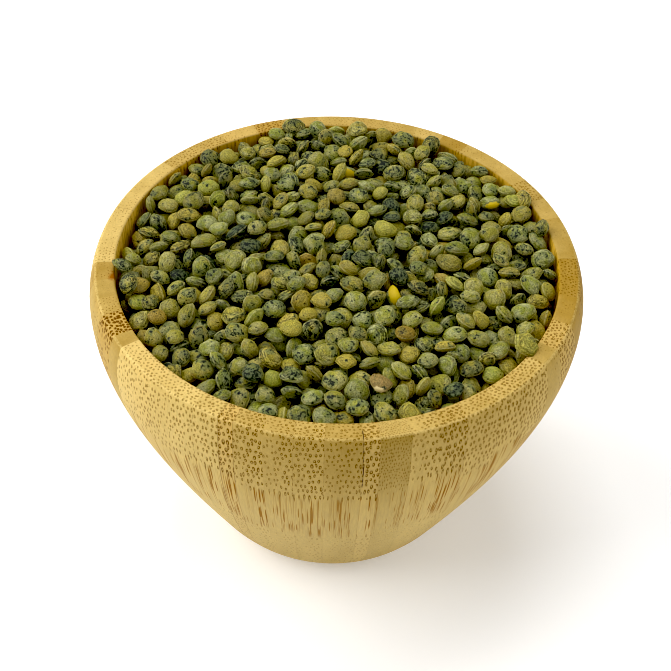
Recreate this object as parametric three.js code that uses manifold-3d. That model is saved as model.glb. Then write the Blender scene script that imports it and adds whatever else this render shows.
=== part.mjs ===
// A turned bamboo bowl heaped with dry green lentils.
// Millimetres, +Z up. The origin is on the bowl's axis, on the face it stands on.

import * as THREE from 'three';
import { mergeVertices } from 'three/addons/utils/BufferGeometryUtils.js';
import Module from 'manifold-3d';

const wasm = await Module();
wasm.setup();

// The bowl
const BOWL_HEIGHT = 76;
const RIM_RADIUS = 52;          // outer edge of the flat rim
const RIM_WIDTH = 4.1;          // the rim's flat top face
const RIM_EASING = 0.5;         // rounding of the rim's two edges
const MOUTH_RADIUS = RIM_RADIUS - RIM_WIDTH;
const BELLY_SWELL = 5.9;        // how far the wall's upper handle leans out past the rim
const BELLY_DROP = 10.5;
const FOOT_RADIUS = 33.9;       // where the wall turns under towards the base
const FOOT_HEIGHT = 8.5;
const FOOT_SLOPE = THREE.MathUtils.degToRad(65.5);
const FOOT_HANDLE = 39.8;       // length of the wall's lower handle, along the slope
const BASE_RADIUS = 21.8;       // flat face that the bowl stands on
const FLOOR_THICKNESS = 9;
const WALL_STEPS = 10;
const TURN_STEPS = 4;           // of the rounding under the foot
const EASING_STEPS = 2;
const CAVITY_STEPS = 7;
const BOWL_FACETS = 48;

// The heap
const CROWN_ABOVE_RIM = 3;      // top of the lentils in the middle
const FRONT_EDGE = -1;          // top of the lentils along the front of the wall, from the rim
const BACK_EDGE = 0.7;          // the same along the back
const BACK_RISE = 0.6;          // they climb a little more at the middle of the back
const QUARTER_DIP = 0.3;        // and lie lower to either side of it
const PIT_AZIMUTH = THREE.MathUtils.degToRad(173);  // a hollow by the wall at the left
const PIT_WIDTH = THREE.MathUtils.degToRad(8);
const PIT_DEPTH = 4;
const CORE_GAP = 0.35;          // clearance between the heap and the bowl
const CORE_DEPTH = 1.9;         // the solid core's surface lies this far under the lentils' tops
const CORE_FACETS = BOWL_FACETS / 2;
const CORE_RINGS = 5;

// The lentils
const LENTIL_COUNT = 222;
const LENTIL_RADIUS = 2.4;
const LENTIL_HALF_THICKNESS = 1.25;
const LENTIL_SIDES = 6;
const LENTIL_SIZE_SPREAD = 0.1;
const LENTIL_SINKING = 0.7;     // the deepest one's top lies this far under the heap's envelope
const LENTIL_TILT = THREE.MathUtils.degToRad(56);
const LENTIL_DRIFT = 0.8;       // how far one strays from the even spiral
const SHOULDER_OUT = 0.6;       // the upper side's rounded shoulder, in shares of radius
const SHOULDER_UP = 0.78;       // and of half thickness
const GOLDEN_ANGLE = Math.PI * (3 - Math.sqrt(5));
const SEED = 20417;

/** Repeatable random numbers from 0 to 1. */
function seededRandom(seed) {
  let state = seed;
  return () => {
    state = (state + 0x6d2b79f5) | 0;
    let mixed = Math.imul(state ^ (state >>> 15), 1 | state);
    mixed = (mixed + Math.imul(mixed ^ (mixed >>> 7), 61 | mixed)) ^ mixed;
    return ((mixed ^ (mixed >>> 14)) >>> 0) / 4294967296;
  };
}

/** A profile turned about +Z; it runs up the outside, so that the faces point out. */
function turned(profile, facets) {
  return welded(new THREE.LatheGeometry(profile, facets).rotateX(Math.PI / 2));
}

/** The same surface with its vertices shared and its collapsed triangles dropped. */
function welded(geometry) {
  geometry.deleteAttribute('normal');
  geometry.deleteAttribute('uv');
  const merged = mergeVertices(geometry);
  const corners = merged.getIndex().array;
  const kept = [];
  for (let i = 0; i < corners.length; i += 3) {
    const [a, b, c] = corners.slice(i, i + 3);
    if (a !== b && b !== c && c !== a) kept.push(a, b, c);
  }
  merged.setIndex(kept);
  return merged;
}

/** Points along a quarter round between two straight runs, from one to the other. */
function rounding(from, corner, to, steps) {
  return new THREE.QuadraticBezierCurve(from, corner, to).getPoints(steps);
}

/** The outer wall from the rim down to the foot. */
function outerWall() {
  const foot = new THREE.Vector2(FOOT_RADIUS, FOOT_HEIGHT);
  const alongFoot = new THREE.Vector2(Math.cos(FOOT_SLOPE), Math.sin(FOOT_SLOPE));
  return new THREE.CubicBezierCurve(
    new THREE.Vector2(RIM_RADIUS, BOWL_HEIGHT),
    new THREE.Vector2(RIM_RADIUS + BELLY_SWELL, BOWL_HEIGHT - BELLY_DROP),
    foot.clone().addScaledVector(alongFoot, FOOT_HANDLE),
    foot,
  );
}

/** The hollow's wall from the mouth down to the middle of its floor. */
function cavityWall(clearance = 0) {
  const height = BOWL_HEIGHT + clearance;
  const radius = MOUTH_RADIUS - clearance;
  const floor = FLOOR_THICKNESS + clearance;
  return new THREE.CubicBezierCurve(
    new THREE.Vector2(radius, height),
    new THREE.Vector2(radius * 1.03, height * 0.58),
    new THREE.Vector2(radius * 0.7, floor),
    new THREE.Vector2(0, floor),
  );
}

function makeBowl() {
  const wall = outerWall();
  const footCorner = new THREE.Vector2(FOOT_RADIUS - FOOT_HEIGHT / Math.tan(FOOT_SLOPE), 0);
  const base = new THREE.Vector2(BASE_RADIUS, 0);
  const underFoot = rounding(base, footCorner, wall.v3, TURN_STEPS);

  const outerEdge = new THREE.Vector2(RIM_RADIUS, BOWL_HEIGHT);
  const belowOuterEdge = wall.getPointAt(RIM_EASING / wall.getLength());
  const onRim = new THREE.Vector2(RIM_RADIUS - RIM_EASING, BOWL_HEIGHT);
  const outerEasing = rounding(belowOuterEdge, outerEdge, onRim, EASING_STEPS);

  const innerEdge = new THREE.Vector2(MOUTH_RADIUS, BOWL_HEIGHT);
  const inRim = new THREE.Vector2(MOUTH_RADIUS + RIM_EASING, BOWL_HEIGHT);
  const belowInnerEdge = new THREE.Vector2(MOUTH_RADIUS, BOWL_HEIGHT - RIM_EASING);
  const innerEasing = rounding(inRim, innerEdge, belowInnerEdge, EASING_STEPS);

  const up = wall.getSpacedPoints(WALL_STEPS).reverse().slice(1, -1);
  const down = cavityWall().getSpacedPoints(CAVITY_STEPS).slice(1);
  const profile = [
    new THREE.Vector2(0, 0),
    ...underFoot,
    ...up,
    ...outerEasing,
    ...innerEasing,
    ...down,
  ];
  return turned(profile, BOWL_FACETS);
}

/** Height of the lentils' tops above the standing face, at a place in the bowl. */
function heapTop(x, y) {
  const outward = Math.min(1, Math.hypot(x, y) / MOUTH_RADIUS);
  const azimuth = Math.atan2(y, x);
  const back = Math.max(0, Math.sin(azimuth));
  const level = THREE.MathUtils.lerp(FRONT_EDGE, BACK_EDGE, Math.min(1, 2.5 * back));
  const edge = level + BACK_RISE * back ** 10 - QUARTER_DIP * back * Math.sin(2 * azimuth) ** 2;
  const fromPit = THREE.MathUtils.euclideanModulo(azimuth - PIT_AZIMUTH + Math.PI, 2 * Math.PI) - Math.PI;
  const pit = PIT_DEPTH * Math.exp(-((fromPit / PIT_WIDTH) ** 2)) * outward ** 10;
  return BOWL_HEIGHT + edge + (CROWN_ABOVE_RIM - edge) * (1 - outward ** 2) - pit;
}

/** The lentils that don't show, as one body with a plain surface. */
function makeCore() {
  const wall = cavityWall(CORE_GAP).getSpacedPoints(CAVITY_STEPS).reverse();
  const side = wall.filter((point) => point.y < BOWL_HEIGHT + FRONT_EDGE - CORE_DEPTH - PIT_DEPTH);
  const rings = [];
  for (let ring = CORE_RINGS; ring >= 0; ring -= 1) {
    rings.push(new THREE.Vector2(((MOUTH_RADIUS - CORE_GAP) * ring) / CORE_RINGS, BOWL_HEIGHT));
  }
  const core = turned([...side, ...rings], CORE_FACETS);
  const place = core.getAttribute('position');
  for (let i = 0; i < place.count; i += 1) {
    const onTop = place.getZ(i) > BOWL_HEIGHT - 0.001;
    if (onTop) place.setZ(i, heapTop(place.getX(i), place.getY(i)) - CORE_DEPTH);
  }
  return core;
}

/** One lentil lying flat at the origin: a lens, plainer on the side that is turned down. */
function makeLentil() {
  const profile = [
    new THREE.Vector2(0, -LENTIL_HALF_THICKNESS),
    new THREE.Vector2(LENTIL_RADIUS, 0),
    new THREE.Vector2(LENTIL_RADIUS * SHOULDER_OUT, LENTIL_HALF_THICKNESS * SHOULDER_UP),
    new THREE.Vector2(0, LENTIL_HALF_THICKNESS),
  ];
  return turned(profile, LENTIL_SIDES);
}

/** Lentils spread evenly over the heap, each tilted its own way, with its top at the envelope. */
function scatterLentils() {
  const random = seededRandom(SEED);
  const lens = makeLentil();
  const outermost = MOUTH_RADIUS - CORE_GAP - LENTIL_RADIUS * (1 + LENTIL_SIZE_SPREAD);
  const lentils = [];
  for (let i = 0; i < LENTIL_COUNT; i += 1) {
    const size = 1 + LENTIL_SIZE_SPREAD * (2 * random() - 1);
    const drift = LENTIL_DRIFT * random();
    const heading = 2 * Math.PI * random();
    const radius = outermost * Math.sqrt((i + 0.5) / LENTIL_COUNT);
    const x = radius * Math.cos(i * GOLDEN_ANGLE) + drift * Math.cos(heading);
    const y = radius * Math.sin(i * GOLDEN_ANGLE) + drift * Math.sin(heading);
    const inward = Math.min(1, outermost / Math.hypot(x, y));

    const tilt = LENTIL_TILT * random();
    const leanHeading = 2 * Math.PI * random();
    const leanAxis = new THREE.Vector3(Math.cos(leanHeading), Math.sin(leanHeading), 0);
    const spin = new THREE.Quaternion().setFromAxisAngle(new THREE.Vector3(0, 0, 1), 2 * Math.PI * random());
    const turn = new THREE.Quaternion().setFromAxisAngle(leanAxis, tilt).multiply(spin);
    const reach = size * Math.hypot(LENTIL_RADIUS * Math.sin(tilt), LENTIL_HALF_THICKNESS * Math.cos(tilt));
    const z = heapTop(x * inward, y * inward) - reach - LENTIL_SINKING * random();
    const placing = new THREE.Matrix4().compose(
      new THREE.Vector3(x * inward, y * inward, z),
      turn,
      new THREE.Vector3(size, size, size),
    );
    lentils.push(lens.clone().applyMatrix4(placing));
  }
  return lentils;
}

function toManifold(geometry) {
  return new wasm.Manifold(new wasm.Mesh({
    numProp: 3,
    vertProperties: Float32Array.from(geometry.getAttribute('position').array),
    triVerts: Uint32Array.from(geometry.getIndex().array),
  }));
}

/** The largest closed shell of a solid: sealed hollows are filled and loose scraps dropped. */
function largestShell(solid) {
  const mesh = solid.getMesh();
  const points = mesh.vertProperties;
  const corners = mesh.triVerts;
  const owner = Array.from({ length: points.length / mesh.numProp }, (_, i) => i);
  const rootOf = (i) => {
    let root = i;
    while (owner[root] !== root) root = owner[root];
    owner[i] = root;
    return root;
  };
  for (let i = 0; i < corners.length; i += 3) {
    owner[rootOf(corners[i + 1])] = rootOf(corners[i]);
    owner[rootOf(corners[i + 2])] = rootOf(corners[i]);
  }
  const shells = new Map();
  for (let i = 0; i < corners.length; i += 3) {
    const root = rootOf(corners[i]);
    if (!shells.has(root)) shells.set(root, { volume: 0, corners: [] });
    const shell = shells.get(root);
    const [a, b, c] = [0, 1, 2].map((k) => new THREE.Vector3().fromArray(points, corners[i + k] * mesh.numProp));
    shell.volume += a.dot(b.cross(c)) / 6;
    shell.corners.push(...corners.slice(i, i + 3));
  }
  const largest = [...shells.values()].reduce((best, shell) => (shell.volume > best.volume ? shell : best));
  const geometry = new THREE.BufferGeometry();
  geometry.setAttribute('position', new THREE.BufferAttribute(points.slice(), mesh.numProp));
  geometry.setIndex(largest.corners);
  return geometry;
}

/** The core with every lentil that shows fused onto it. */
function makeHeap() {
  let heap = toManifold(makeCore());
  for (const lentil of scatterLentils()) heap = heap.add(toManifold(lentil));
  return largestShell(heap);
}

const bamboo = new THREE.MeshStandardMaterial({ color: 0xc8a665, roughness: 0.6, metalness: 0 });
const seedCoat = new THREE.MeshStandardMaterial({ color: 0x6d6d38, roughness: 0.55, metalness: 0 });

const bowl = new THREE.Mesh(makeBowl(), bamboo);
bowl.name = 'bowl';

const lentils = new THREE.Mesh(makeHeap(), seedCoat);
lentils.name = 'lentils';

const bowlOfLentils = new THREE.Group();
bowlOfLentils.add(bowl, lentils);

export default bowlOfLentils;
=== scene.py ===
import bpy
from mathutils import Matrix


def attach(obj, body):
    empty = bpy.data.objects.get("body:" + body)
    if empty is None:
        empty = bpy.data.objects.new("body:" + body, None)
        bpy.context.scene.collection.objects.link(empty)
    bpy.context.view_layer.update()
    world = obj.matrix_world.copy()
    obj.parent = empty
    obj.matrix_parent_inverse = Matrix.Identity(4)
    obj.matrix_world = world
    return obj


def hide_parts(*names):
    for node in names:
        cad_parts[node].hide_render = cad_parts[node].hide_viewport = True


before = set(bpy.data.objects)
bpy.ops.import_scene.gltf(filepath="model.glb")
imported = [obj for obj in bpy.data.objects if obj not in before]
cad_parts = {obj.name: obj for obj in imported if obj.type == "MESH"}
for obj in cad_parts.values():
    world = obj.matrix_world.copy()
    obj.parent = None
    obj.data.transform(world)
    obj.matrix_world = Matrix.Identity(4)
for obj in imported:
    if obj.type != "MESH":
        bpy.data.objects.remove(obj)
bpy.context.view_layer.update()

# A turned bowl of laminated bamboo, heaped to the brim with small dry green lentils.
# Lengths are millimetres until a mesh is written, which is in metres.
# The origin is on the bowl's axis, on the face it stands on; +Z is up and -Y is the front.

import logging
import math
from dataclasses import dataclass, field
from enum import Enum

import bmesh
import bpy
import numpy as np
from mathutils import Matrix, Vector

LOG = logging.getLogger("bowl_of_lentils")
MM = 0.001
BODY = "root"
# Points closer than TOUCH count as one, and those closer to the axis than ON_AXIS as on it.
TOUCH = 0.001
ON_AXIS = 1e-6
# Number of short runs that a curve's length is measured with.
CURVE_RUNS = 400

Point = tuple[float, float]
Span = tuple[float, float]
Colour = tuple[float, float, float, float]
Socket = bpy.types.NodeSocket


class Slot(Enum):
    """Material slots of the part's record."""

    BAMBOO = "bamboo"
    LENTIL_SKIN = "lentil_skin"


class LentilKind(Enum):
    """The sorts of lentil in the heap, each made as one piece."""

    MARBLED = "marbled_lentils"
    FLECKED = "flecked_lentils"
    DARK = "dark_lentils"
    PLAIN = "plain_lentils"
    TAN = "tan_lentils"
    CHIPPED = "chipped_lentils"


def srgb(red: float, green: float, blue: float) -> Colour:
    """Turns a colour picked on a screen, 0 to 255, into the linear colour that a shader takes.

    Args:
        red: Red, 0 to 255.
        green: Green, 0 to 255.
        blue: Blue, 0 to 255.

    Returns:
        The linear colour with full alpha.
    """
    linear = []
    for channel in (red, green, blue):
        share = channel / 255.0
        linear.append(share / 12.92 if share <= 0.04045 else ((share + 0.055) / 1.055) ** 2.4)
    return (linear[0], linear[1], linear[2], 1.0)


class FinishSheet:
    """Lays out the nodes of one material, from left to right, with short names for the usual ones."""

    def __init__(self, name: str) -> None:
        """Starts a material with its shader and output.

        Args:
            name: The material's name.
        """
        self.material = bpy.data.materials.new(name)
        self.material.use_nodes = True
        self.nodes = self.material.node_tree.nodes
        self.links = self.material.node_tree.links
        self.shader = self.nodes["Principled BSDF"]

    def feed(self, socket: Socket, value: object) -> None:
        """Links a socket where the value is another socket, and sets it where it is a constant.

        Args:
            socket: The input to feed.
            value: A socket, a number, a vector or a colour.
        """
        if isinstance(value, bpy.types.NodeSocket):
            self.links.new(value, socket)
        else:
            socket.default_value = value

    def attribute(self, name: str) -> bpy.types.Node:
        """Reads one of the mesh's own attributes.

        Args:
            name: The attribute's name.

        Returns:
            The node, with its Color, Vector and Alpha.
        """
        node = self.nodes.new("ShaderNodeAttribute")
        node.attribute_name = name
        return node

    def place(self) -> Socket:
        """The point on the piece, in metres."""
        return self.nodes.new("ShaderNodeTexCoord").outputs["Object"]

    def math(self, operation: str, first: object, second: object = 0.0, third: object = 0.0,
             clamp: bool = False) -> Socket:
        """Works out one sum.

        Args:
            operation: The Math node's operation.
            first: First operand.
            second: Second operand.
            third: Third operand, of the operations that take one.
            clamp: Whether the result is kept between 0 and 1.

        Returns:
            The result.
        """
        node = self.nodes.new("ShaderNodeMath")
        node.operation = operation
        node.use_clamp = clamp
        for socket, value in zip(node.inputs, (first, second, third)):
            self.feed(socket, value)
        return node.outputs[0]

    def product(self, *factors: object) -> Socket:
        """Multiplies its factors.

        Args:
            factors: Two or more sockets or numbers.

        Returns:
            Their product.
        """
        result = factors[0]
        for factor in factors[1:]:
            result = self.math("MULTIPLY", result, factor)
        return result

    def ramp(self, value: object, low: object, high: object, at_low: object = 0.0,
             at_high: object = 1.0) -> Socket:
        """Eases from one value to another as the input goes from low to high.

        Args:
            value: The input.
            low: Where the change begins; it may be the larger one.
            high: Where it ends.
            at_low: The result at low.
            at_high: The result at high.

        Returns:
            The eased result.
        """
        node = self.nodes.new("ShaderNodeMapRange")
        node.interpolation_type = "SMOOTHSTEP"
        for name, what in zip(("Value", "From Min", "From Max", "To Min", "To Max"),
                              (value, low, high, at_low, at_high)):
            self.feed(node.inputs[name], what)
        return node.outputs["Result"]

    def mix(self, share: object, first: object, second: object, how: str = "MIX") -> Socket:
        """Mixes two colours.

        Args:
            share: How much of the second, 0 to 1.
            first: The first colour.
            second: The second colour.
            how: The Mix node's blend type.

        Returns:
            The mixed colour.
        """
        node = self.nodes.new("ShaderNodeMix")
        node.data_type = "RGBA"
        node.blend_type = how
        self.feed(node.inputs[0], share)
        self.feed(node.inputs[6], first)
        self.feed(node.inputs[7], second)
        return node.outputs[2]

    def shaded(self, colour: Socket, value: Socket) -> Socket:
        """Makes a colour lighter or darker.

        Args:
            colour: The colour.
            value: What it is multiplied with.

        Returns:
            The shaded colour.
        """
        grey = self.nodes.new("ShaderNodeCombineColor")
        for socket in grey.inputs[:3]:
            self.feed(socket, value)
        return self.mix(1.0, colour, grey.outputs[0], "MULTIPLY")

    def split(self, vector: Socket) -> tuple[Socket, Socket, Socket]:
        """Takes a vector apart.

        Args:
            vector: The vector.

        Returns:
            Its three parts.
        """
        node = self.nodes.new("ShaderNodeSeparateXYZ")
        self.feed(node.inputs[0], vector)
        return node.outputs[0], node.outputs[1], node.outputs[2]

    def channels(self, colour: Socket) -> tuple[Socket, Socket, Socket]:
        """Takes a colour apart.

        Args:
            colour: The colour.

        Returns:
            Its red, green and blue.
        """
        node = self.nodes.new("ShaderNodeSeparateColor")
        self.feed(node.inputs[0], colour)
        return node.outputs[0], node.outputs[1], node.outputs[2]

    def vector(self, along_x: object, along_y: object, along_z: object = 0.0) -> Socket:
        """A vector from three parts.

        Args:
            along_x: First part.
            along_y: Second part.
            along_z: Third part.

        Returns:
            The vector.
        """
        node = self.nodes.new("ShaderNodeCombineXYZ")
        for socket, value in zip(node.inputs, (along_x, along_y, along_z)):
            self.feed(socket, value)
        return node.outputs[0]

    def between(self, operation: str, first: object, second: object) -> bpy.types.Node:
        """Works out one sum of two vectors.

        Args:
            operation: The Vector Math node's operation.
            first: First vector.
            second: Second vector.

        Returns:
            The node, with its Vector and Value.
        """
        node = self.nodes.new("ShaderNodeVectorMath")
        node.operation = operation
        self.feed(node.inputs[0], first)
        self.feed(node.inputs[1], second)
        return node

    def length(self, along_x: Socket, along_y: Socket) -> Socket:
        """Length of a flat vector from its two parts."""
        square = self.math("MULTIPLY_ADD", along_x, along_x, self.product(along_y, along_y))
        return self.math("SQRT", square)

    def noise(self, vector: Socket, scale: float, detail: float = 2.0,
              roughness: float = 0.5, distortion: float = 0.0) -> Socket:
        """Cloudy noise.

        Args:
            vector: Where it is read.
            scale: Its fineness.
            detail: Number of finer layers.
            roughness: Strength of the finer layers.
            distortion: How far it is warped.

        Returns:
            The noise, about 0.5 on average.
        """
        node = self.nodes.new("ShaderNodeTexNoise")
        self.feed(node.inputs["Vector"], vector)
        for name, value in (("Scale", scale), ("Detail", detail), ("Roughness", roughness),
                            ("Distortion", distortion)):
            node.inputs[name].default_value = value
        return node.outputs["Fac"]

    def cells(self, vector: Socket, scale: float, randomness: float, flat: bool) -> bpy.types.Node:
        """Cells round scattered points.

        Args:
            vector: Where they are read.
            scale: Cells in a unit.
            randomness: How unevenly the points lie, 0 to 1.
            flat: Whether the cells are of the plane rather than of space.

        Returns:
            The Voronoi node, with its Distance, Color and Position.
        """
        node = self.nodes.new("ShaderNodeTexVoronoi")
        node.voronoi_dimensions = "2D" if flat else "3D"
        self.feed(node.inputs["Vector"], vector)
        node.inputs["Scale"].default_value = scale
        node.inputs["Randomness"].default_value = randomness
        return node

    def relief(self, height: Socket, depth: float, strength: float = 1.0) -> None:
        """Gives the shader a bump.

        Args:
            height: The relief, 0 to 1.
            depth: How deep the whole of it is, in metres.
            strength: How much of it shows.
        """
        node = self.nodes.new("ShaderNodeBump")
        node.inputs["Strength"].default_value = strength
        node.inputs["Distance"].default_value = depth
        self.feed(node.inputs["Height"], height)
        self.links.new(node.outputs["Normal"], self.shader.inputs["Normal"])

    def dress(self, **values: object) -> bpy.types.Material:
        """Feeds the shader's own sockets and gives the finished material.

        Args:
            values: Socket names, with _ for a space, and what they take.

        Returns:
            The material.
        """
        for name, value in values.items():
            self.feed(self.shader.inputs[name.replace("_", " ")], value)
        return self.material


def publish(obj: bpy.types.Object, material: bpy.types.Material, node: str) -> None:
    """Puts a finished piece in the scene, on its body and in place of its plain solid.

    Args:
        obj: The piece.
        material: Its finish.
        node: The plain solid that it stands for.
    """
    bpy.context.scene.collection.objects.link(obj)
    obj.data.materials.append(material)
    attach(obj, BODY)
    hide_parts(node)
    LOG.info("%s: %d faces", obj.name, len(obj.data.polygons))


def smoothed(mesh: bpy.types.Mesh, name: str) -> bpy.types.Object:
    """An object of a mesh that is shaded smooth."""
    mesh.polygons.foreach_set("use_smooth", np.ones(len(mesh.polygons), dtype=bool))
    return bpy.data.objects.new(name, mesh)


def spun(section: list[Point], steps: int) -> bmesh.types.BMesh:
    """Turns a section once round the axis.

    Args:
        section: Radius and height of its points.
        steps: Number of faces round the axis.

    Returns:
        The turned mesh, its points on the axis not yet joined.
    """
    bm = bmesh.new()
    verts = [bm.verts.new((r, 0.0, z)) for r, z in section]
    edges = [bm.edges.new(pair) for pair in zip(verts, verts[1:])]
    bmesh.ops.spin(bm, geom=verts + edges, cent=(0, 0, 0), axis=(0, 0, 1), dvec=(0, 0, 0), angle=math.tau,
                   steps=steps, use_merge=True, use_duplicate=False)
    return bm


def leaning(angle: float, way: float) -> Matrix:
    """A turn by an angle about the level line at an azimuth, both in radians."""
    return Matrix.Rotation(angle, 3, Vector((math.cos(way), math.sin(way), 0.0)))


def written(bm: bmesh.types.BMesh, name: str) -> bpy.types.Object:
    """Writes a mesh that was modelled in millimetres as an object in metres.

    Args:
        bm: The mesh, which is freed.
        name: The object's name.

    Returns:
        The object, at the origin and unturned.
    """
    bmesh.ops.scale(bm, vec=(MM, MM, MM), verts=bm.verts)
    mesh = bpy.data.meshes.new(name)
    bm.to_mesh(mesh)
    bm.free()
    return smoothed(mesh, name)


@dataclass(frozen=True)
class Curve:
    """A curve with two handles, in the plane of radius and height."""

    start: Point
    leave: Point
    arrive: Point
    end: Point

    def at(self, share: float) -> Point:
        """The point at a share of the curve's own parameter.

        Args:
            share: From 0 at the start to 1 at the end.

        Returns:
            Radius and height.
        """
        rest = 1.0 - share
        weights = (rest**3, 3 * rest**2 * share, 3 * rest * share**2, share**3)
        knots = (self.start, self.leave, self.arrive, self.end)
        radius = sum(w * k[0] for w, k in zip(weights, knots))
        height = sum(w * k[1] for w, k in zip(weights, knots))
        return (radius, height)

    def spaced(self, steps: int) -> list[Point]:
        """Points at even distances along the curve, both ends among them.

        Args:
            steps: Number of runs between them.

        Returns:
            The points from start to end.
        """
        fine = [self.at(i / CURVE_RUNS) for i in range(CURVE_RUNS + 1)]
        lengths = [0.0]
        for before, after in zip(fine, fine[1:]):
            lengths.append(lengths[-1] + math.dist(before, after))
        wanted = np.linspace(0.0, lengths[-1], steps + 1)
        radii = np.interp(wanted, lengths, [p[0] for p in fine])
        heights = np.interp(wanted, lengths, [p[1] for p in fine])
        return [(float(r), float(z)) for r, z in zip(radii, heights)]


def rounding(before: Point, corner: Point, after: Point, steps: int) -> list[Point]:
    """Points along the rounding of a corner, both ends among them.

    Args:
        before: Where it leaves the first run.
        corner: The sharp corner.
        after: Where it joins the second run.
        steps: Number of runs.

    Returns:
        The points.
    """
    points = []
    for i in range(steps + 1):
        share = i / steps
        rest = 1.0 - share
        weights = (rest**2, 2 * rest * share, share**2)
        knots = (before, corner, after)
        points.append((sum(w * k[0] for w, k in zip(weights, knots)),
                       sum(w * k[1] for w, k in zip(weights, knots))))
    return points


@dataclass(frozen=True)
class Stave:
    """One bamboo stave of the bowl, from its first joint to the next stave's.

    Attributes:
        start: Azimuth of its first joint, in degrees.
        tone: 0 for pale straw to 1 for dark tan.
        pores: Share of its bundles that are open at its first joint.
        pores_end: The same at its last joint.
        bore: Size of the pores, 1 for 0.75 mm.
        warmth: How orange the pores and the wood are.
        joint: Darkness of the glue line at its first joint.
        lasting: Share of its open bundles that go on down the wall.
        lightened: How much paler its rim's top is painted than its wall, as painted light from above.
    """

    start: float
    tone: float
    pores: float
    pores_end: float
    bore: float = 1.0
    warmth: float = 0.2
    joint: float = 0.03
    lasting: float = 1.0
    lightened: float = 0.0


STAVES = (
    Stave(1.3, 0.75, 0.10, 0.20, 0.7),
    Stave(9.5, 0.7, 0.30, 0.15, 0.7),
    Stave(17.0, 0.6, 0.10, 0.30, 0.7),
    Stave(25.0, 0.68, 0.70, 0.85, 0.85),
    Stave(33.8, 0.58, 0.15, 0.30, 0.7),
    Stave(44.0, 0.6, 0.20, 0.45, 0.7),
    Stave(53.8, 0.85, 0.50, 0.30, 0.6, 0.4),
    Stave(61.2, 0.45, 0.30, 0.50, 0.7),
    Stave(69.0, 0.62, 0.20, 0.60, 0.7),
    Stave(77.0, 0.6, 0.50, 0.70, 0.65),
    Stave(87.0, 0.58, 0.60, 0.40, 0.65),
    Stave(97.0, 0.6, 0.35, 0.55, 0.7),
    Stave(107.0, 0.70, 0.95, 0.95, 0.9, 0.8),
    Stave(115.0, 0.35, 0.30, 0.50, 0.7, 0.5),
    Stave(125.0, 0.55, 0.85, 0.60, 0.8, 0.3),
    Stave(134.5, 0.50, 0.90, 0.70, 0.8, 0.3),
    Stave(144.0, 0.30, 0.30, 0.20, 0.7),
    Stave(154.0, 0.28, 0.30, 0.40, 0.7),
    Stave(165.0, 0.20, 0.50, 0.30, 0.7, 0.2, 0.3),
    Stave(172.0, 0.18, 0.30, 0.60, 0.7),
    Stave(186.0, 0.78, 0.30, 0.50, 0.6, 0.4, 0.2),
    Stave(192.3, 0.68, 0.10, 0.20, 0.6),
    Stave(198.5, 0.60, 0.50, 0.70, 0.6, 0.3),
    Stave(204.2, 0.60, 1.00, 1.00, 1.35, 0.7, 0.3, 0.35, 0.15),
    Stave(211.7, 0.70, 0.10, 0.10, 0.6),
    Stave(215.6, 0.0, 0.55, 0.80, 0.75, 0.2),
    Stave(222.0, 0.0, 0.60, 0.90, 0.80, 0.3),
    Stave(227.0, 0.10, 0.80, 0.60, 0.75, 0.2),
    Stave(233.0, 0.10, 0.90, 0.75, 0.8, 0.1),
    Stave(239.5, 0.20, 0.75, 0.90, 0.9, 0.1),
    Stave(245.7, 0.20, 1.00, 1.00, 1.08, 0.5, 0.5),
    Stave(249.1, 0.46, 0.65, 1.00, 1.05, 0.2, 0.3),
    Stave(255.7, 0.52, 0.50, 0.85, 0.9),
    Stave(262.1, 0.56, 0.60, 1.00, 1.0, 0.2, 0.1, 1.0, 0.08),
    Stave(268.6, 0.74, 0.60, 0.95, 0.8, 0.2, 0.1, 1.0, 0.1),
    Stave(276.6, 0.44, 0.90, 1.00, 1.1, 0.3, 0.1),
    Stave(280.2, 0.8, 0.75, 0.65, 0.45, 0.1, 0.1, 1.0, 0.4),
    Stave(286.9, 0.44, 0.45, 0.85, 0.9),
    Stave(293.3, 0.46, 0.80, 1.00, 1.08, 0.2, 0.05),
    Stave(299.6, 0.46, 0.70, 0.80, 0.92),
    Stave(307.5, 0.38, 0.80, 0.95, 0.96),
    Stave(316.0, 0.34, 0.85, 0.90, 0.96),
    Stave(323.5, 0.62, 0.15, 0.30, 0.7, 0.2, 0.1),
    Stave(329.0, 0.42, 0.95, 0.95, 1.0, 0.5),
    Stave(338.0, 0.9, 0.15, 0.30, 0.7, 0.4),
    Stave(347.5, 1.0, 0.75, 0.95, 0.8, 0.4),
)


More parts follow.
